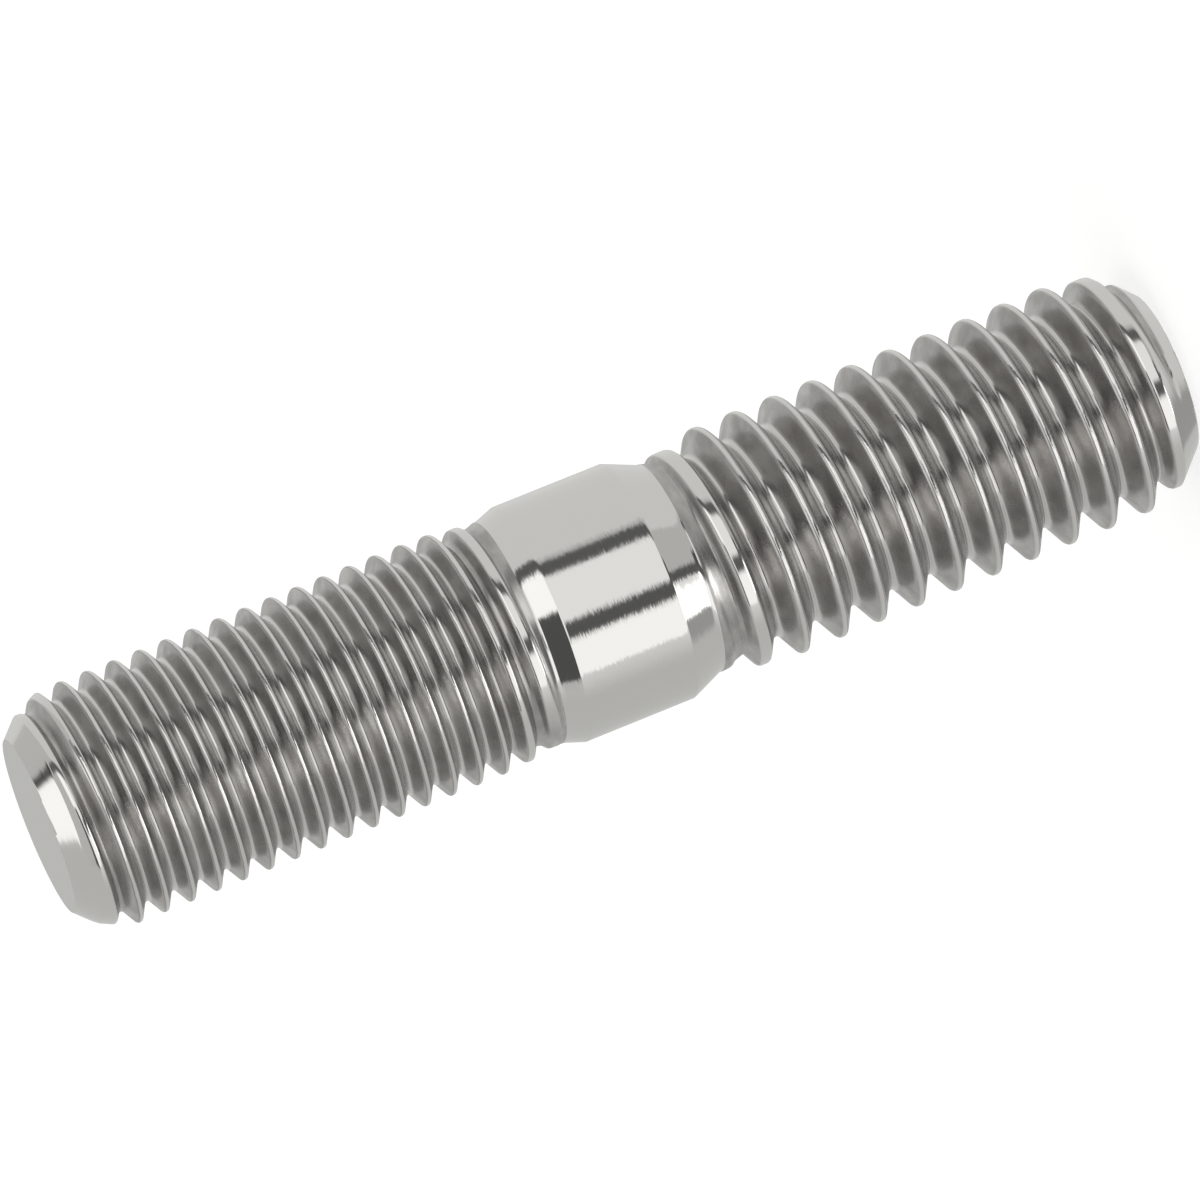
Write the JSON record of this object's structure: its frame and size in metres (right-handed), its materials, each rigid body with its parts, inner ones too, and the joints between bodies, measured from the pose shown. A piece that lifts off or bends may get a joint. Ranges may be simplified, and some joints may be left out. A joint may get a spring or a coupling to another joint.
{
  "type": "double-ended stud bolt",
  "caption": "Steel stud bolt with a coarse right-hand thread on one end, a fine one on the other and a short plain shank between, for joining a tapped casting to a nut.",
  "frame": {"origin": "centre of the coarse-threaded end's face, which the stud stands on", "axes": "+Z along the axis from the coarse end to the fine end, +X towards the side where the crests' heights are counted"},
  "size_m": [0.0094, 0.0094, 0.0461],
  "materials": {
    "steel": "bright turned shank and chamfers, rolled threads"
  },
  "bodies": {
    "root": {"stud_bolt": "steel"}
  },
  "joints": []
}
